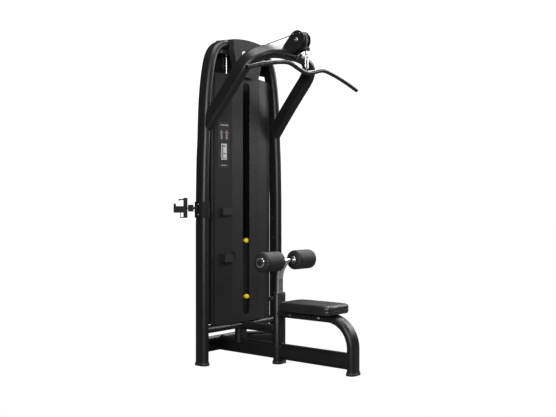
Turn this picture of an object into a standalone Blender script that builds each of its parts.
"""Lat pulldown machine: an oval-tube frame with a covered weight tower, a cable over two
pulleys down to a lat bar, a seat, thigh rollers on a chrome post and a side holder.

Metres, +Z up. The tower stands on Y = 0 in the working coordinates; SHIFT_Y moves the whole
machine so that the origin is the middle of its footprint."""
import math

import bmesh
import bpy
from mathutils import Vector

# ---------------------------------------------------------------- driving dimensions
GAP = 0.0003                       # air left between neighbouring pieces
SHIFT_Y = 0.3855                   # puts the footprint's middle on the origin

TUBE_LONG, TUBE_SHORT = 0.100, 0.060
FOOT_TOP = 0.022
POST_X = 0.393
ARCH_RIGHT = [(0.393, FOOT_TOP + GAP), (0.393, 0.60), (0.393, 1.13), (0.387, 1.40),
              (0.379, 1.54), (0.374, 1.68), (0.366, 1.82), (0.350, 1.96), (0.321, 2.10),
              (0.277, 2.181), (0.203, 2.223), (0.100, 2.236), (0.0, 2.239)]
ARM_LONG, ARM_SHORT = 0.112, 0.068
ARM_START = (-0.033, 1.668)        # Y, Z where the arm's centreline meets the posts
ARM_DIRECTION = (-0.65, 0.76)      # Y, Z
ARM_START_X, ARM_HALF_WIDTH = 0.366, 0.348
ARM_STRAIGHT, ARM_CROWN, ARM_SQUARE = 0.40, 0.218, 2.7

BEAM_TALL, BEAM_WIDE, BEAM_Z = 0.110, 0.060, 0.085
REAR_TUBE = [(-0.391, 0.019), (-0.200, 0.210), (0.200, 0.210), (0.391, 0.019)]
COLUMN_LOW, COLUMN_TOP = 0.100, 0.2167
CROSSBAR_Z, CROSSBAR_TALL, CROSSBAR_DEEP = 0.239, 0.044, 0.098
TIE_Z, TIE_WIDE, TIE_TALL = 0.235, 0.076, 0.056
TOP_BAR_LOW, TOP_BAR_HIGH, TOP_BAR_BACK, TOP_BAR_FRONT = 2.1545, 2.190, 0.042, -0.030

POST_Y, POST_TOP, BORE_LONG, BORE_SHORT, BORE_BOTTOM = -0.360, 0.482, 0.062, 0.038, 0.110
SEAT_TUBE_Z, SEAT_TUBE_SHORT, LEG_Y, LEG_BEND = 0.353, 0.058, -0.975, 0.185
SEAT_LOW, SEAT_TOP, SEAT_BACK, SEAT_FRONT, SEAT_HALF = 0.3825, 0.445, -0.440, -0.875, 0.130

SHROUD_LOW, SHROUD_TOP = 0.264, 2.018
SHROUD_PLAN = [(-0.286, -0.012), (-0.148, -0.052), (0.148, -0.052), (0.286, -0.012)]
SHROUD_WALL = 0.0035
REAR_WALL, REAR_Y, LIP_X, LIP_Y = 0.003, 0.108, 0.312, -0.0045
CROWN_FRONT, CROWN_BACK, CROWN_FLARE, CROWN_WALL = -0.078, 0.058, 1.25, 0.003
SLOT_HALF, SLOT_LOW, SLOT_HIGH = 0.036, 0.315, 1.976

STACK_Y, PLATE_HALF_X, PLATE_HALF_Y = 0.025, 0.170, 0.050
RESTING_LOW, SPLIT_Z, HEAD_LOW, HEAD_TOP = 0.2983, 0.430, 0.8253, 0.860
HEAD_KNOB_Z = 0.842
ROD_X, ROD_RADIUS = 0.125, 0.0095
STEM_RADIUS, PIN_Z = 0.011, 0.441

TOWER_PULLEY = (-0.019, 2.148)     # Y, Z
TOWER_CABLE_RADIUS, TOWER_FLANGE = 0.044, 0.049
FRONT_PULLEY = (-0.540, 2.212)
FRONT_CABLE_RADIUS, FRONT_FLANGE = 0.058, 0.063
CABLE_RADIUS = 0.003
BAR_Y = FRONT_PULLEY[0] - FRONT_CABLE_RADIUS

ROLLER_ROD_Y, ROLLER_ROD_Z = -0.420, 0.714
POP_PIN_Z = 0.440
HOLDER_PIVOT = (-0.452, 0.0)
HOLDER_AXIS_Z = 1.075

BLACK = (0.012, 0.012, 0.013, 1.0)
GREY = (0.055, 0.056, 0.058, 1.0)
CHROME = (0.75, 0.76, 0.78, 1.0)
FOOT_BLACK = (0.022, 0.022, 0.022, 1.0)
YELLOW = (0.85, 0.55, 0.02, 1.0)


# ---------------------------------------------------------------- outlines and paths
def oval(long_side, short_side, steps=10):
    """Flat-sided oval, its long side along the first coordinate."""
    radius, offset = short_side / 2, (long_side - short_side) / 2
    points = []
    for middle, start in ((offset, -90), (-offset, 90)):
        for step in range(steps + 1):
            angle = math.radians(start + 180 * step / steps)
            points.append((middle + radius * math.cos(angle), radius * math.sin(angle)))
    return points


def ring(radius, steps=24, start=0.0):
    return [(radius * math.cos(start + 2 * math.pi * i / steps),
             radius * math.sin(start + 2 * math.pi * i / steps)) for i in range(steps)]


def rounded(points, radius, steps=6):
    """The same open path with every inner corner turned into an arc."""
    vectors = [Vector(p) for p in points]
    path = [vectors[0]]
    for before, corner, after in zip(vectors, vectors[1:], vectors[2:]):
        into, out = (before - corner).normalized(), (after - corner).normalized()
        half = into.angle(out) / 2
        reach = radius / math.tan(half)
        centre = corner + (into + out).normalized() * (radius / math.sin(half))
        first, last = corner + into * reach - centre, corner + out * reach - centre
        sweep_angle = first.angle(last)
        for step in range(steps + 1):
            part = step / steps
            path.append(centre + (first * math.sin((1 - part) * sweep_angle)
                                  + last * math.sin(part * sweep_angle)) / math.sin(sweep_angle))
    return path + [vectors[-1]]


def spline(points, steps=3):
    """Smooth curve through all the points."""
    vectors = [Vector(p) for p in points]
    ends = [vectors[0] * 2 - vectors[1]] + vectors + [vectors[-1] * 2 - vectors[-2]]
    path = []
    for a, b, c, d in zip(ends, ends[1:], ends[2:], ends[3:]):
        for step in range(steps):
            t = step / steps
            path.append(0.5 * (2 * b + (c - a) * t + (2 * a - 5 * b + 4 * c - d) * t * t
                               + (3 * b - a - 3 * c + d) * t ** 3))
    return path + [vectors[-1]]


def offset_line(points, distance):
    """Open 2-D line moved sideways (to its left) by a distance, corners kept sharp."""
    moved = []
    vectors = [Vector(p) for p in points]
    for i, point in enumerate(vectors):
        normals = []
        for a, b in ((i - 1, i), (i, i + 1)):
            if a >= 0 and b < len(vectors):
                along = (vectors[b] - vectors[a]).normalized()
                normals.append(Vector((-along.y, along.x)))
        normal = sum(normals, Vector((0.0, 0.0))).normalized()
        moved.append(point + normal * (distance / normal.dot(normals[0])))
    return [tuple(p) for p in moved]


def hull(points):
    """Convex outline round a set of 2-D points."""
    points = sorted(set((round(x, 7), round(y, 7)) for x, y in points))

    def half(items):
        chain = []
        for p in items:
            while len(chain) > 1:
                (ax, ay), (bx, by) = chain[-2], chain[-1]
                if (bx - ax) * (p[1] - ay) - (by - ay) * (p[0] - ax) > 0:
                    break
                chain.pop()
            chain.append(p)
        return chain[:-1]
    return half(points) + half(points[::-1])


# ---------------------------------------------------------------- solids
def add_object(name, mesh, pivot, colour, rough, metal):
    """Give a bmesh a name, an origin and its own material."""
    bmesh.ops.recalc_face_normals(mesh, faces=mesh.faces)
    for edge in mesh.edges:
        if len(edge.link_faces) == 2 and edge.calc_face_angle(0.0) > math.radians(38):
            edge.smooth = False
    for face in mesh.faces:
        face.smooth = True
    bmesh.ops.translate(mesh, verts=mesh.verts, vec=-Vector(pivot))
    data = bpy.data.meshes.new(name)
    mesh.to_mesh(data)
    mesh.free()
    obj = bpy.data.objects.new(name, data)
    obj.location = Vector(pivot) + Vector((0.0, SHIFT_Y, 0.0))
    bpy.context.scene.collection.objects.link(obj)
    if colour is None:
        obj.hide_render = True
        obj.display_type = "WIRE"
        return obj
    material = bpy.data.materials.new(name + "_material")
    material.use_nodes = True
    shader = material.node_tree.nodes["Principled BSDF"]
    shader.inputs["Base Color"].default_value = colour
    shader.inputs["Roughness"].default_value = rough
    shader.inputs["Metallic"].default_value = metal
    data.materials.append(material)
    return obj


def bridge(mesh, first, second):
    count = len(first)
    for i in range(count):
        j = (i + 1) % count
        mesh.faces.new((first[i], first[j], second[j], second[i]))


def sweep(name, path, normal, outline, colour=BLACK, rough=0.3, metal=0.0, pivot=(0, 0, 0)):
    """Solid along a flat path; the outline's first coordinate follows the path's normal."""
    mesh = bmesh.new()
    normal = Vector(normal).normalized()
    path = [Vector(p) for p in path]
    rings = []
    for i, point in enumerate(path):
        into = (point - path[i - 1]).normalized() if i else None
        out = (path[i + 1] - point).normalized() if i + 1 < len(path) else None
        into, out = into or out, out or into
        tangent = (into + out).normalized()
        side = tangent.cross(normal) / max(tangent.dot(into), 0.2)
        rings.append([mesh.verts.new(point + normal * u + side * v) for u, v in outline])
    for first, second in zip(rings, rings[1:]):
        bridge(mesh, first, second)
    mesh.faces.new(rings[0][::-1])
    mesh.faces.new(rings[-1])
    return add_object(name, mesh, pivot, colour, rough, metal)


def turned(name, profile, centre, axis, colour=BLACK, rough=0.3, metal=0.0,
           steps=24, bored=False, pivot=None):
    """Solid of revolution; the profile is (radius, distance along the axis)."""
    mesh = bmesh.new()
    turn = Vector((0, 0, 1)).rotation_difference(Vector(axis)).to_matrix()
    centre = Vector(centre)
    rings = []
    for radius, along in profile:
        rings.append([mesh.verts.new(centre + turn @ Vector((x, y, along)))
                      for x, y in ring(radius, steps)])
    for first, second in zip(rings, rings[1:]):
        bridge(mesh, first, second)
    if bored:
        bridge(mesh, rings[-1], rings[0])
    else:
        mesh.faces.new(rings[0][::-1])
        mesh.faces.new(rings[-1])
    return add_object(name, mesh, pivot or centre, colour, rough, metal)


def prism(name, outline, axis, low, high, colour=BLACK, rough=0.3, metal=0.0,
          pivot=(0, 0, 0), bevel=0.0):
    """Outline pushed along X, Y or Z; the outline is given in the other two coordinates."""
    def place(a, b, along):
        return {"X": (along, a, b), "Y": (a, along, b), "Z": (a, b, along)}[axis]
    mesh = bmesh.new()
    rings = [[mesh.verts.new(place(a, b, along)) for a, b in outline] for along in (low, high)]
    bridge(mesh, rings[0], rings[1])
    mesh.faces.new(rings[0][::-1])
    mesh.faces.new(rings[1])
    if bevel:
        bmesh.ops.recalc_face_normals(mesh, faces=mesh.faces)
        sharp = [e for e in mesh.edges if e.calc_face_angle(0.0) > math.radians(50)]
        bmesh.ops.bevel(mesh, geom=sharp, offset=bevel, segments=3, profile=0.5,
                        affect="EDGES", clamp_overlap=True)
    return add_object(name, mesh, pivot, colour, rough, metal)


def block(name, low, high, colour=BLACK, rough=0.3, metal=0.0, pivot=(0, 0, 0), bevel=0.0):
    corners = [(low[0], low[1]), (high[0], low[1]), (high[0], high[1]), (low[0], high[1])]
    return prism(name, corners, "Z", low[2], high[2], colour, rough, metal, pivot, bevel)


def combine(obj, other, operation):
    modifier = obj.modifiers.new(other.name, "BOOLEAN")
    modifier.operation = operation
    modifier.solver = "EXACT"
    modifier.object = other


def cut(obj, *cutters):
    for cutter in cutters:
        combine(obj, cutter, "DIFFERENCE")


def join(obj, *pieces):
    for piece in pieces:
        combine(obj, piece, "UNION")


def rod(name, radius, start, end, colour=BLACK, rough=0.3, metal=0.0, steps=24, pivot=None):
    """Plain round bar between two points."""
    start, end = Vector(start), Vector(end)
    length = (end - start).length
    return turned(name, [(radius, 0.0), (radius, length)], start, (end - start).normalized(),
                  colour, rough, metal, steps, pivot=pivot)


def grown(long_side, short_side):
    return oval(long_side + 2 * GAP, short_side + 2 * GAP)


# ---------------------------------------------------------------- frame
def arch_path():
    right = [(x, 0.0, z) for x, z in ARCH_RIGHT]
    left = [(-x, 0.0, z) for x, z in ARCH_RIGHT[:-1]][::-1]
    smooth = spline((right + left)[2:-2], 3)
    return [Vector(right[0])] + smooth + [Vector(left[-1])]


def arm_point(s, x):
    return (x, ARM_START[0] + ARM_DIRECTION[0] * s, ARM_START[1] + ARM_DIRECTION[1] * s)


def arm_path():
    start_x = ARM_START_X
    right = [arm_point(-0.05, start_x + 0.001), arm_point(0.0, start_x)]
    for part in (0.25, 0.5, 0.75):
        x = start_x + (ARM_HALF_WIDTH - start_x) * (1 - (1 - part) ** 2)
        right.append(arm_point(ARM_STRAIGHT * part, x))
    for step in range(0, 13):
        angle = math.pi / 2 * step / 12
        rise, run = (abs(f(angle)) ** (2 / ARM_SQUARE) for f in (math.sin, math.cos))
        right.append(arm_point(ARM_STRAIGHT + ARM_CROWN * rise, ARM_HALF_WIDTH * run))
    left = [(-x, y, z) for x, y, z in right[:-1]][::-1]
    return right[:-1] + [(0.0,) + right[-1][1:]] + left


def arm_normal():
    return (0.0, -ARM_DIRECTION[1], ARM_DIRECTION[0])


def rear_tube_path():
    return rounded([(x, y, BEAM_Z) for x, y in REAR_TUBE], 0.10, 6)


def seat_tube_path():
    straight = [(0.0, POST_Y - 0.012, SEAT_TUBE_Z), (0.0, LEG_Y, SEAT_TUBE_Z),
                (0.0, LEG_Y, FOOT_TOP + GAP)]
    return rounded(straight, LEG_BEND, 12)


def build_frame():
    arch = sweep("arch_frame", arch_path(), (0, 1, 0), oval(TUBE_LONG, TUBE_SHORT))
    arch_cut = sweep("cut_arch", arch_path(), (0, 1, 0), grown(TUBE_LONG, TUBE_SHORT), None)
    arm = sweep("pulldown_arm", arm_path(), arm_normal(), oval(ARM_LONG, ARM_SHORT))
    arm_cut = sweep("cut_arm", arm_path(), arm_normal(), grown(ARM_LONG, ARM_SHORT), None)
    cut(arm, arch_cut)

    rear = sweep("rear_cross_tube", rear_tube_path(), (0, 0, 1), oval(BEAM_TALL, BEAM_WIDE))
    rear_cut = sweep("cut_rear_tube", rear_tube_path(), (0, 0, 1),
                     grown(BEAM_TALL, BEAM_WIDE), None)
    cut(rear, arch_cut)

    post = build_centre_post()
    post_cut = prism("cut_centre_post", shifted(grown(TUBE_LONG, TUBE_SHORT), 0, POST_Y),
                     "Z", 0.0, POST_TOP + 0.01, None)
    seat_tube = sweep("seat_frame_tube", seat_tube_path(), (1, 0, 0),
                      oval(TUBE_LONG, SEAT_TUBE_SHORT))
    seat_cut = sweep("cut_seat_tube", seat_tube_path(), (1, 0, 0),
                     grown(TUBE_LONG, SEAT_TUBE_SHORT), None)
    cut(seat_tube, post_cut)

    beam_path = [(0, 0.203, BEAM_Z), (0, POST_Y + 0.012, BEAM_Z)]
    beam = sweep("base_beam_rear", beam_path, (0, 0, 1), oval(BEAM_TALL, BEAM_WIDE))
    beam_cut = sweep("cut_beam", beam_path, (0, 0, 1), grown(BEAM_TALL, BEAM_WIDE), None)
    cut(beam, rear_cut, post_cut)
    front = sweep("base_beam_front", [(0, POST_Y - 0.012, BEAM_Z), (0, LEG_Y + 0.012, BEAM_Z)],
                  (0, 0, 1), oval(BEAM_TALL, BEAM_WIDE))
    cut(front, post_cut, seat_cut)

    column = prism("tower_column", oval(TUBE_LONG, TUBE_SHORT), "Z", COLUMN_LOW, COLUMN_TOP)
    cut(column, beam_cut)
    bar_path = [(-POST_X + 0.008, 0, CROSSBAR_Z), (POST_X - 0.008, 0, CROSSBAR_Z)]
    crossbar = sweep("lower_crossbar", bar_path, (0, 1, 0), oval(CROSSBAR_DEEP, CROSSBAR_TALL))
    crossbar_cut = sweep("cut_crossbar", bar_path, (0, 1, 0),
                         grown(CROSSBAR_DEEP, CROSSBAR_TALL), None)
    cut(crossbar, arch_cut)
    tie = sweep("tie_tube", [(0, -0.034, TIE_Z), (0, POST_Y + 0.012, TIE_Z)], (1, 0, 0),
                oval(TIE_WIDE, TIE_TALL))
    cut(tie, crossbar_cut, post_cut)

    top = block("top_crossbar", (-0.278, TOP_BAR_FRONT, TOP_BAR_LOW),
                (0.278, TOP_BAR_BACK, TOP_BAR_HIGH), bevel=0.003)
    web = block("add_top_web", (-0.308, 0.0365, 2.067), (0.308, 0.0415, 2.160), None)
    join(top, web)
    notch = block("cut_pulley_notch", (-0.0193, -0.06, 2.10), (0.0193, 0.0350, 2.25), None)
    cut(top, arch_cut, notch)
    build_feet()
    return arch_cut, arm_cut


def shifted(outline, dx, dy, swap=False):
    """Outline moved to (dx, dy); swapped first when its long side should lie along Y."""
    if swap:
        outline = [(b, a) for a, b in outline][::-1]
    return [(a + dx, b + dy) for a, b in outline]


def build_centre_post():
    post = prism("centre_post", shifted(oval(TUBE_LONG, TUBE_SHORT), 0, POST_Y), "Z",
                 FOOT_TOP + GAP, POST_TOP)
    bore = prism("cut_post_bore", shifted(oval(BORE_LONG, BORE_SHORT), 0, POST_Y), "Z",
                 BORE_BOTTOM, POST_TOP + 0.02, None)
    hole = rod("cut_pin_hole", 0.0065, (0, POST_Y, POP_PIN_Z), (0, POST_Y + 0.05, POP_PIN_Z), None)
    cut(post, bore, hole)
    collar = prism("post_bushing", shifted(oval(0.096, 0.056), 0, POST_Y), "Z",
                   POST_TOP + GAP, 0.490, (0.02, 0.02, 0.02, 1), 0.5)
    cut(collar, bore_for_collar())
    return post


def bore_for_collar():
    return prism("cut_collar_bore", shifted(oval(BORE_LONG, BORE_SHORT), 0, POST_Y), "Z",
                 POST_TOP - 0.01, 0.51, None)


def build_feet():
    places = (("left_foot", -POST_X, 0.0, True), ("right_foot", POST_X, 0.0, True),
              ("centre_foot", 0.0, POST_Y, False), ("end_foot", 0.0, LEG_Y, False))
    for name, x, y, swap in places:
        prism(name, shifted(oval(0.112, 0.072), x, y, swap), "Z", 0.0, FOOT_TOP,
              FOOT_BLACK, 0.6, bevel=0.002)


def build_seat():
    r = 0.035
    corners = [(-SEAT_HALF, SEAT_BACK), (-SEAT_HALF, SEAT_FRONT),
               (SEAT_HALF, SEAT_FRONT), (SEAT_HALF, SEAT_BACK)]
    outline = []
    for x, y in corners:
        cx, cy = x - math.copysign(r, x), y + (r if y == SEAT_FRONT else -r)
        base = {(-1, 1): 90, (-1, -1): 180, (1, -1): 270, (1, 1): 0}
        start = base[(int(math.copysign(1, x)), -1 if y == SEAT_FRONT else 1)]
        for step in range(6):
            angle = math.radians(start + 90 * step / 5)
            outline.append((cx + r * math.cos(angle), cy + r * math.sin(angle)))
    prism("seat_pad", outline, "Z", SEAT_LOW, SEAT_TOP, (0.02, 0.02, 0.022, 1), 0.4,
          bevel=0.010)
    for name, y in (("seat_bolt_rear", -0.495), ("seat_bolt_front", -0.736)):
        turned(name, [(0.008, 0.0), (0.008, 0.002), (0.0065, 0.003), (0.0065, 0.007),
                      (0.005, 0.009)], (-TUBE_LONG / 2 - GAP, y, SEAT_TUBE_Z - 0.002),
               (-1, 0, 0), CHROME, 0.2, 1.0, 20)


# ---------------------------------------------------------------- tower covers
def wall(name, line, thickness, low, high, colour, rough):
    inner = offset_line(line, thickness)
    return prism(name, list(line) + inner[::-1], "Z", low, high, colour, rough)


def build_covers(arch_cut):
    front = wall("front_shroud", SHROUD_PLAN, SHROUD_WALL, SHROUD_LOW, SHROUD_TOP, GREY, 0.5)
    middle = (SLOT_LOW + SLOT_HIGH) / 2
    slot_outline = [(b, a + middle) for a, b in oval(SLOT_HIGH - SLOT_LOW, 2 * SLOT_HALF, 12)]
    slot = prism("cut_slot", slot_outline[::-1], "Y", -0.10, -0.030, None)
    cut(front, slot)
    build_rear_cover(arch_cut)
    build_crown(arch_cut)
    build_wing_pieces()


def build_rear_cover(arch_cut):
    """Back of the tower with a narrow lip on each side and a panel rising behind the arch."""
    side = SHROUD_PLAN[3][0]
    curve = rounded([(side, LIP_Y, 0), (side, REAR_Y, 0), (-side, REAR_Y, 0), (-side, LIP_Y, 0)],
                    0.025, 5)
    plan = [(LIP_X, LIP_Y)] + [(p.x, p.y) for p in curve] + [(-LIP_X, LIP_Y)]
    rear = wall("rear_shroud", plan, REAR_WALL, SHROUD_LOW, SHROUD_TOP, GREY, 0.5)
    right = [(0.252, 1.990), (0.262, 2.030), (0.262, 2.100), (0.235, 2.165), (0.170, 2.205),
             (0.090, 2.226)]
    outline = right + [(0.0, 2.231)] + [(-x, z) for x, z in right[::-1]]
    panel = prism("add_back_panel", outline, "Y", REAR_Y - REAR_WALL + 0.0001, REAR_Y - 0.0001, None)
    join(rear, panel)
    cut(rear, arch_cut)


def crown_outline(y, inset):
    """Shield outline in X and Z at a given Y; it widens towards the back."""
    spread = 1 + (CROWN_FLARE - 1) * (y - CROWN_FRONT) / (CROWN_BACK - CROWN_FRONT)
    right = [(0.160, 2.190), (0.132, 2.10), (0.104, 2.008 - (0.02 if inset else 0.0))]
    top = [(x, 2.275 - inset - 0.55 * x * x) for x in (-0.160, -0.11, -0.055, 0.0, 0.055, 0.11,
                                                      0.160)]
    outline = top + right + [(-x, z) for x, z in right[::-1]]
    return [(x * spread - math.copysign(inset, x) * (abs(x) > 0.1), z) for x, z in outline]


def loft(name, first, second, low, high, colour=BLACK, rough=0.3):
    """Solid between two outlines in X and Z, the first at Y = low, the second at Y = high."""
    mesh = bmesh.new()
    rings = [[mesh.verts.new((a, y, b)) for a, b in outline]
             for outline, y in ((first, low), (second, high))]
    bridge(mesh, rings[0], rings[1])
    mesh.faces.new(rings[0][::-1])
    mesh.faces.new(rings[1])
    return add_object(name, mesh, (0, 0, 0), colour, rough, 0.0)


def build_crown(arch_cut):
    crown = loft("crown_cover", crown_outline(CROWN_FRONT, 0.0), crown_outline(CROWN_BACK, 0.0),
                 CROWN_FRONT, CROWN_BACK, BLACK, 0.4)
    inner_front = CROWN_FRONT + CROWN_WALL
    hollow = loft("cut_crown_hollow", crown_outline(inner_front, CROWN_WALL),
                  crown_outline(0.09, CROWN_WALL), inner_front, 0.09, None)
    behind = block("cut_crown_back", (-0.25, -0.036, 2.0), (0.25, 0.10, 2.205), None)
    low = block("cut_crown_low", (-0.25, SHROUD_PLAN[1][1] - 0.001, 1.95),
                (0.25, 0.10, SHROUD_TOP + 0.0005), None)
    exit_z = cable_z_at(CROWN_FRONT + CROWN_WALL / 2)
    exit_hole = rod("cut_crown_hole", 0.012, (0, -0.10, exit_z), (0, -0.06, exit_z), None)
    cut(crown, hollow, behind, low, arch_cut, exit_hole)


def wing_y(x):
    """Outer face of the front cover at a given X."""
    (xa, ya), (xb, yb) = SHROUD_PLAN[0], SHROUD_PLAN[1]
    return ya + (yb - ya) * (min(x, xb) - xa) / (xb - xa)


def build_wing_pieces():
    along = Vector((SHROUD_PLAN[1][0] - SHROUD_PLAN[0][0],
                    SHROUD_PLAN[1][1] - SHROUD_PLAN[0][1])).normalized()
    out = Vector((along.y, -along.x))
    start = Vector((-0.258, wing_y(-0.258))) + out * GAP
    end = Vector((-0.172, wing_y(-0.172))) + out * GAP
    plan = [tuple(start), tuple(start + out * 0.002), tuple(end + out * 0.002), tuple(end)]
    prism("exercise_placard", plan, "Z", 1.353, 1.675, (0.03, 0.03, 0.035, 1), 0.35)
    for name, front, low, high in (("upper_side_hook", -0.060, 1.025, 1.075),
                                   ("lower_side_hook", -0.082, 0.700, 0.755)):
        air = 0.0004
        plan = [(-0.250, wing_y(-0.250) - air), (-0.250, front), (-0.138, front),
                (-0.138, -0.052 - air), (-0.148, -0.052 - air)]
        hook = prism(name, plan, "Z", low, high, BLACK, 0.45)
        if name == "lower_side_hook":
            lip = block("add_hook_lip", (-0.152, front - 0.004, low + 0.02),
                        (-0.1379, -0.054, high + 0.014), None)
            join(hook, lip)


# ---------------------------------------------------------------- stack
def comb(name, low, high, plates, colour, rough):
    """Block of weight plates: full-size slabs with a thin groove between neighbours."""
    mesh = bmesh.new()
    slab = (high - low) / plates
    rings = []
    for i in range(plates):
        base = low + slab * i
        sizes = [(0.0, base + (0.0008 if i else 0.0)), (0.0, base + slab - (0.0008 if i + 1 < plates
                                                                          else 0.0))]
        if i:
            sizes.insert(0, (0.003, base + 0.0008))
        if i + 1 < plates:
            sizes.append((0.003, base + slab - 0.0008))
        for inset, z in sizes:
            x, y = PLATE_HALF_X - inset, PLATE_HALF_Y - inset
            rings.append([mesh.verts.new((sx * x, STACK_Y + sy * y, z))
                          for sx, sy in ((-1, -1), (1, -1), (1, 1), (-1, 1))])
    for first, second in zip(rings, rings[1:]):
        bridge(mesh, first, second)
    mesh.faces.new(rings[0][::-1])
    mesh.faces.new(rings[-1])
    return add_object(name, mesh, (0, STACK_Y, low), colour, rough, 0.6)


def build_stack():
    dark = (0.03, 0.03, 0.032, 1)
    holes = [rod("cut_rod_hole_%d" % i, ROD_RADIUS + 0.001, (x, STACK_Y, 0.25),
                 (x, STACK_Y, 0.95), None) for i, x in enumerate((-ROD_X, ROD_X))]
    stem_hole = rod("cut_stem_hole", STEM_RADIUS + 0.0012, (0, STACK_Y, 0.25),
                    (0, STACK_Y, HEAD_LOW - 0.0001), None)
    pin_hole = rod("cut_pin_in_plate", 0.0058, (0, -0.05, PIN_Z), (0, STACK_Y, PIN_Z), None)
    resting = comb("resting_plates", RESTING_LOW, SPLIT_Z, 6, dark, 0.5)
    lifted = comb("lifted_plates", SPLIT_Z + GAP, HEAD_LOW - GAP, 18, dark, 0.5)
    head = block("head_plate", (-PLATE_HALF_X, STACK_Y - PLATE_HALF_Y, HEAD_LOW),
                 (PLATE_HALF_X, STACK_Y + PLATE_HALF_Y, HEAD_TOP), dark, 0.5, 0.6,
                 (0, STACK_Y, HEAD_LOW), 0.003)
    cut(resting, *holes, stem_hole)
    cut(lifted, *holes, stem_hole, pin_hole)
    cut(head, *holes)
    stem = rod("selector_stem", STEM_RADIUS, (0, STACK_Y, 0.310),
               (0, STACK_Y, HEAD_LOW - GAP), CHROME, 0.25, 1.0)
    pin_seat = rod("cut_pin_in_stem", 0.0055, (0, -0.01, PIN_Z), (0, STACK_Y + 0.005, PIN_Z), None)
    cut(stem, pin_seat)
    front = STACK_Y - PLATE_HALF_Y
    turned("head_plate_knob", [(0.008, GAP), (0.008, 0.016), (0.015, 0.018), (0.017, 0.024),
                               (0.015, 0.034), (0.008, 0.038)], (0, front, HEAD_KNOB_Z),
           (0, -1, 0), YELLOW, 0.35, 0.0, 24)
    turned("stack_pin", [(0.005, -0.048), (0.005, 0.010), (0.013, 0.012), (0.016, 0.020),
                         (0.015, 0.038), (0.009, 0.044)], (0, front - 0.004, PIN_Z),
           (0, -1, 0), YELLOW, 0.35, 0.0, 24)
    build_guides()


def build_guides():
    for side, x in (("left", -ROD_X), ("right", ROD_X)):
        rod(side + "_guide_rod", ROD_RADIUS, (x, STACK_Y, 0.2613),
            (x, STACK_Y, TOP_BAR_LOW - GAP), CHROME, 0.15, 1.0)
        turned(side + "_stack_bumper", [(ROD_RADIUS + GAP, 0.0), (0.022, 0.0), (0.022, 0.030),
                                        (0.019, 0.0367), (ROD_RADIUS + GAP, 0.0367)],
               (x, STACK_Y, 0.2613), (0, 0, 1), (0.015, 0.015, 0.015, 1), 0.8, 0.0, 24, True)


# ---------------------------------------------------------------- pulleys and cable
def tangent_points():
    """Where the straight run of cable leaves the tower pulley and meets the front one."""
    a, b = Vector(TOWER_PULLEY), Vector(FRONT_PULLEY)
    between = b - a
    lean = (TOWER_CABLE_RADIUS - FRONT_CABLE_RADIUS) / between.length
    along = between.normalized()
    up = Vector((along.y, -along.x))
    normal = along * lean + up * math.sqrt(1 - lean * lean)
    return a + normal * TOWER_CABLE_RADIUS, b + normal * FRONT_CABLE_RADIUS, normal


def cable_z_at(y):
    start, end, _ = tangent_points()
    return start.y + (end.y - start.y) * (y - start.x) / (end.x - start.x)


def cable_over_path():
    _, _, normal = tangent_points()
    turn = math.atan2(normal.y, normal.x)
    path = []
    for centre, radius, first, last in ((TOWER_PULLEY, TOWER_CABLE_RADIUS, 0.0, turn),
                                        (FRONT_PULLEY, FRONT_CABLE_RADIUS, turn, math.pi)):
        for step in range(11):
            angle = first + (last - first) * step / 10
            path.append((0.0, centre[0] + radius * math.cos(angle),
                         centre[1] + radius * math.sin(angle)))
    return path


def pulley(name, centre, cable_radius, flange, half, hub, hub_half, bore):
    groove = cable_radius - CABLE_RADIUS - 0.0006
    turned(name, [(bore, -hub_half), (hub, -hub_half), (hub, -half), (flange, -half),
                  (flange, -half + 0.0025), (groove, -0.0038), (groove, 0.0038),
                  (flange, half - 0.0025), (flange, half), (hub, half), (hub, hub_half),
                  (bore, hub_half)], (0, centre[0], centre[1]), (1, 0, 0),
           (0.02, 0.02, 0.02, 1), 0.4, 0.0, 40, True)


def build_drive(arm_cut):
    pulley("tower_pulley", TOWER_PULLEY, TOWER_CABLE_RADIUS, TOWER_FLANGE, 0.010,
           0.012, 0.0137, 0.0063)
    pulley("front_pulley", FRONT_PULLEY, FRONT_CABLE_RADIUS, FRONT_FLANGE, 0.012,
           0.016, 0.0327, 0.0083)
    build_tower_bracket()
    turned("tower_pulley_axle", [(0.006, -0.0188), (0.006, 0.0188)],
           (0, TOWER_PULLEY[0], TOWER_PULLEY[1]), (1, 0, 0), CHROME, 0.3, 1.0, 20)
    turned("front_pulley_axle", [(0.014, -0.046), (0.014, -0.0383), (0.008, -0.0383),
                                 (0.008, 0.0383), (0.014, 0.0383), (0.014, 0.046)],
           (0, FRONT_PULLEY[0], FRONT_PULLEY[1]), (1, 0, 0), (0.02, 0.02, 0.02, 1), 0.3, 0.5, 24)
    build_front_bracket(arm_cut)
    sweep("cable_over_pulleys", cable_over_path(), (1, 0, 0), ring(CABLE_RADIUS, 8),
          (0.015, 0.015, 0.015, 1), 0.4)
    rod("stack_cable_run", CABLE_RADIUS, (0, STACK_Y, HEAD_TOP + GAP),
        (0, STACK_Y, TOWER_PULLEY[1] - GAP), (0.015, 0.015, 0.015, 1), 0.4, 0.0, 8)
    rod("bar_cable_run", CABLE_RADIUS, (0, BAR_Y, 2.158 + GAP),
        (0, BAR_Y, FRONT_PULLEY[1] - GAP), (0.015, 0.015, 0.015, 1), 0.4, 0.0, 8)


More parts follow.
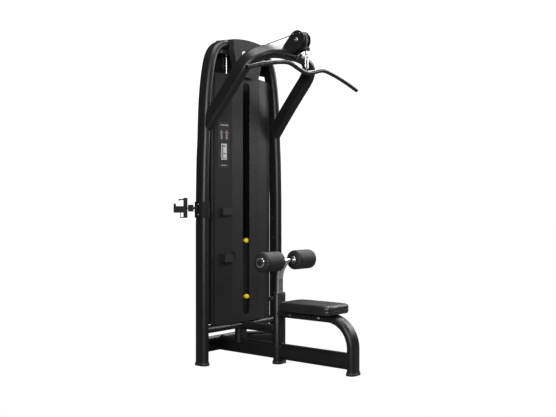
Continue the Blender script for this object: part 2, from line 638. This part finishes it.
def build_tower_bracket():
    """Fork that holds the tower pulley from behind, in the notch of the top crossbar."""
    y, z = TOWER_PULLEY
    base = block("tower_pulley_bracket", (-0.019, 0.0307, 2.128), (0.019, 0.0347, 2.188))
    outline = hull([(y + a, z + b) for a, b in ring(0.014, 16)] + [(0.0340, 2.130), (0.0340, 2.186)])
    for side in (-1, 1):
        low, high = sorted((side * 0.014, side * 0.0188))
        join(base, prism("add_cheek_%d" % (side + 1), outline, "X", low, high, None))
    cut(base, rod("cut_tower_axle", 0.0063, (-0.05, y, z), (0.05, y, z), None))


def build_front_bracket(arm_cut):
    y, z = FRONT_PULLEY
    circle = [(y + a, z + b) for a, b in ring(0.065, 40)]
    along = Vector(ARM_DIRECTION).normalized()
    across = Vector((-along.y, along.x))
    middle = Vector((arm_point(ARM_STRAIGHT + ARM_CROWN, 0)[1:]))
    tail = [tuple(middle + across * side * 0.040 + along * 0.004) for side in (-1, 1)]
    bore = rod("cut_front_axle", 0.0083, (-0.06, y, z), (0.06, y, z), None)
    for name, low, high in (("front_bracket_left", -0.038, -0.033),
                            ("front_bracket_right", 0.033, 0.038)):
        cheek = prism(name, hull(circle + tail), "X", low, high)
        cut(cheek, arm_cut, bore)


def build_bar():
    pivot_top, pivot_low = (0, BAR_Y, 2.101), (0, BAR_Y, 2.014)
    turned("cable_stopper", [(0.020, 0.0), (0.023, 0.003), (0.023, 0.020), (0.020, 0.0227)],
           (0, BAR_Y, 2.1353), (0, 0, 1), (0.015, 0.015, 0.015, 1), 0.6, 0.0, 28)
    fitting = turned("cable_end_fitting", [(0.006, 0.0), (0.010, 0.004), (0.010, 0.022),
                                           (0.008, 0.024)], (0, BAR_Y, 2.111), (0, 0, 1),
                     CHROME, 0.2, 1.0, 24)
    ring_hole("end", fitting, 2.1036)
    hook_path = [(0.014 * math.cos(a), 2.087 + 0.014 * math.sin(a))
                 for a in [math.pi * i / 8 for i in range(9)]]
    hook_path += [(0.014 * math.cos(a), 2.028 + 0.014 * math.sin(a))
                  for a in [math.pi + math.pi * i / 8 for i in range(9)]]
    closed_wire("snap_hook", [(x, BAR_Y, z) for x, z in hook_path], 0.004, pivot_top)
    half = [(0.050, 1.9935), (0.100, 2.007), (0.150, 2.0215), (0.200, 2.0285), (0.250, 2.0245),
            (0.320, 2.013), (0.400, 1.996), (0.480, 1.976), (0.560, 1.953), (0.604, 1.940)]
    line = [(-x, BAR_Y, z) for x, z in half[::-1]] + [(0, BAR_Y, 1.988)]
    line += [(x, BAR_Y, z) for x, z in half]
    bar = sweep("lat_bar", spline(line, 2), (0, 1, 0), ring(0.0150, 16), BLACK, 0.3,
                0.0, pivot_low)
    ring_hole("bar", bar, 2.0118, 1.990)


def ring_hole(name, obj, z, foot=None):
    """Give a piece a flat eye with its hole along X."""
    eye = rod("add_eye_" + name, 0.0125, (-0.003, BAR_Y, z), (0.003, BAR_Y, z), None)
    join(obj, eye)
    if foot:
        join(obj, block("add_neck_" + name, (-0.0027, BAR_Y - 0.0087, foot),
                        (0.0027, BAR_Y + 0.0087, z - 0.0031), None))
    cut(obj, rod("cut_eye_" + name, 0.0085, (-0.02, BAR_Y, z), (0.02, BAR_Y, z), None))


def closed_wire(name, path, radius, pivot):
    """Round wire round a closed loop in the X-Z plane."""
    mesh = bmesh.new()
    points = [Vector(p) for p in path]
    count = len(points)
    rings = []
    for i, point in enumerate(points):
        tangent = (points[(i + 1) % count] - points[i - 1]).normalized()
        side = tangent.cross(Vector((0, 1, 0)))
        rings.append([mesh.verts.new(point + Vector((0, 1, 0)) * u + side * v)
                      for u, v in ring(radius, 12)])
    for i in range(count):
        bridge(mesh, rings[i], rings[(i + 1) % count])
    add_object(name, mesh, pivot, CHROME, 0.15, 1.0)


# ---------------------------------------------------------------- thigh rollers
def build_rollers():
    y, z = ROLLER_ROD_Y, ROLLER_ROD_Z
    path = rounded([(0, POST_Y, 0.220), (0, POST_Y, 0.635), (0, y, z)], 0.16, 8)
    post = sweep("roller_post", path, (1, 0, 0), oval(0.060, 0.036), CHROME, 0.12, 1.0,
                 (0, POST_Y, 0.49))
    saddle = rod("cut_rod_saddle", 0.0153, (-0.1, y, z), (0.1, y, z), None)
    cut(post, saddle)
    for i in range(5):
        height = POP_PIN_Z - 0.08 + 0.04 * i
        cut(post, rod("cut_adjust_%d" % i, 0.006, (0, POST_Y - 0.05, height),
                      (0, POST_Y + 0.05, height), None, steps=16))
    rod("roller_rod", 0.015, (-0.273, y, z), (0.273, y, z), CHROME, 0.12, 1.0)
    for side, sign in (("left", -1), ("right", 1)):
        turned(side + "_foam_roller",
               [(0.0156, 0.078), (0.057, 0.078), (0.065, 0.082), (0.068, 0.091), (0.068, 0.257),
                (0.065, 0.266), (0.057, 0.270), (0.0156, 0.270)], (0, y, z), (sign, 0, 0),
               (0.05, 0.05, 0.055, 1), 0.8, 0.0, 32, True)
        cap = turned(side + "_roller_cap",
                     [(0.035, 0.2705), (0.036, 0.273), (0.034, 0.278), (0.026, 0.280)],
                     (0, y, z), (sign, 0, 0), CHROME, 0.2, 1.0, 28)
        socket = rod("cut_socket_" + side, 0.0153, (sign * 0.25, y, z), (sign * 0.2735, y, z), None)
        cut(cap, socket)
    build_pop_pin()


def build_pop_pin():
    face = POST_Y + TUBE_SHORT / 2 + GAP
    turned("pop_pin_barrel", [(0.0055, 0.0), (0.011, 0.0), (0.011, 0.0215), (0.009, 0.0245),
                              (0.0055, 0.0245)], (0, face, POP_PIN_Z), (0, 1, 0),
           CHROME, 0.25, 1.0, 24, True)
    turned("pop_pin_knob", [(0.005, -0.0105), (0.005, 0.025), (0.014, 0.025), (0.017, 0.029),
                            (0.017, 0.052), (0.012, 0.059)], (0, face, POP_PIN_Z), (0, 1, 0),
           (0.02, 0.02, 0.02, 1), 0.45, 0.0, 24)


# ---------------------------------------------------------------- side holder
def build_holder(arch_cut):
    px, py = HOLDER_PIVOT
    clamp = prism("holder_clamp", shifted(oval(0.116, 0.076), -POST_X, 0, True), "Z",
                  1.010, 1.120, BLACK, 0.4)
    lug = block("add_lug", (px, -0.010, 1.046), (-0.426, 0.010, 1.0620), None)
    boss = rod("add_boss", 0.011, (px, py, 1.046), (px, py, 1.0620), None)
    pin = rod("add_pin", 0.006, (px, py, 1.05), (px, py, 1.094), None)
    join(clamp, lug, boss, pin)
    cut(clamp, arch_cut)

    u = Vector((-math.sqrt(0.5), math.sqrt(0.5), 0.0))
    w = Vector((-math.sqrt(0.5), -math.sqrt(0.5), 0.0))
    pivot = Vector((px, py, HOLDER_AXIS_Z))
    arm = turned("holder_arm", [(0.0063, -0.0125), (0.011, -0.0125), (0.011, 0.0125),
                                (0.0063, 0.0125)], pivot, (0, 0, 1), BLACK, 0.4, 0.0, 24, True)
    join(arm, slab("add_arm_neck", pivot, u, w, (0.009, 0.020), (-0.0058, 0.0058),
                   (-0.008, 0.008)),
         slab("add_arm_plate", pivot, u, w, (0.0165, 0.054), (-0.006, 0.006), (-0.0235, 0.0235)),
         rod("add_arm_pin", 0.005, pivot + u * 0.050, pivot + u * 0.100, None))
    cradle = slab("holder_cradle", pivot, u, w, (0.057, 0.085), (0.010, 0.016),
                  (-0.060, 0.070), BLACK, pivot + u * 0.055)
    parts = (("band", (0.080, 0.151), (0.0102, 0.0158), (-0.031, 0.014)),
             ("finger", (0.134, 0.1508), (0.0104, 0.0156), (0.010, 0.031)),
             ("shelf", (0.0572, 0.106), (0.0106, 0.040), (-0.066, -0.0595)),
             ("shelf_end", (0.101, 0.1058), (0.0108, 0.032), (-0.0658, -0.030)),
             ("top_tab", (0.083, 0.117), (0.0104, 0.0154), (0.054, 0.063)),
             ("tab_end", (0.111, 0.1168), (0.0106, 0.028), (0.046, 0.0628)))
    for name, span_u, span_w, span_z in parts:
        join(cradle, slab("add_cradle_" + name, pivot, u, w, span_u, span_w, span_z))
    join(cradle, rod("add_barrel", 0.0095, pivot + u * 0.0575, pivot + u * 0.104, None),
         slab("add_web", pivot, u, w, (0.0575, 0.104), (0.003, 0.013), (-0.0075, 0.0075)))
    cut(cradle, rod("cut_barrel", 0.0056, pivot + u * 0.05, pivot + u * 0.1008, None))


def slab(name, origin, u, w, span_u, span_w, span_z, colour=None, pivot=None):
    """Box along a turned pair of level directions."""
    mesh = bmesh.new()
    rings = []
    for z in span_z:
        rings.append([mesh.verts.new(Vector(origin) + u * a + w * b + Vector((0, 0, z)))
                      for a, b in ((span_u[0], span_w[0]), (span_u[1], span_w[0]),
                                   (span_u[1], span_w[1]), (span_u[0], span_w[1]))])
    bridge(mesh, rings[0], rings[1])
    mesh.faces.new(rings[0][::-1])
    mesh.faces.new(rings[1])
    return add_object(name, mesh, pivot or origin, colour, 0.4, 0.0)


def main():
    for obj in list(bpy.data.objects):
        bpy.data.objects.remove(obj, do_unlink=True)
    arch_cut, arm_cut = build_frame()
    build_seat()
    build_covers(arch_cut)
    build_stack()
    build_drive(arm_cut)
    build_bar()
    build_rollers()
    build_holder(arch_cut)


main()
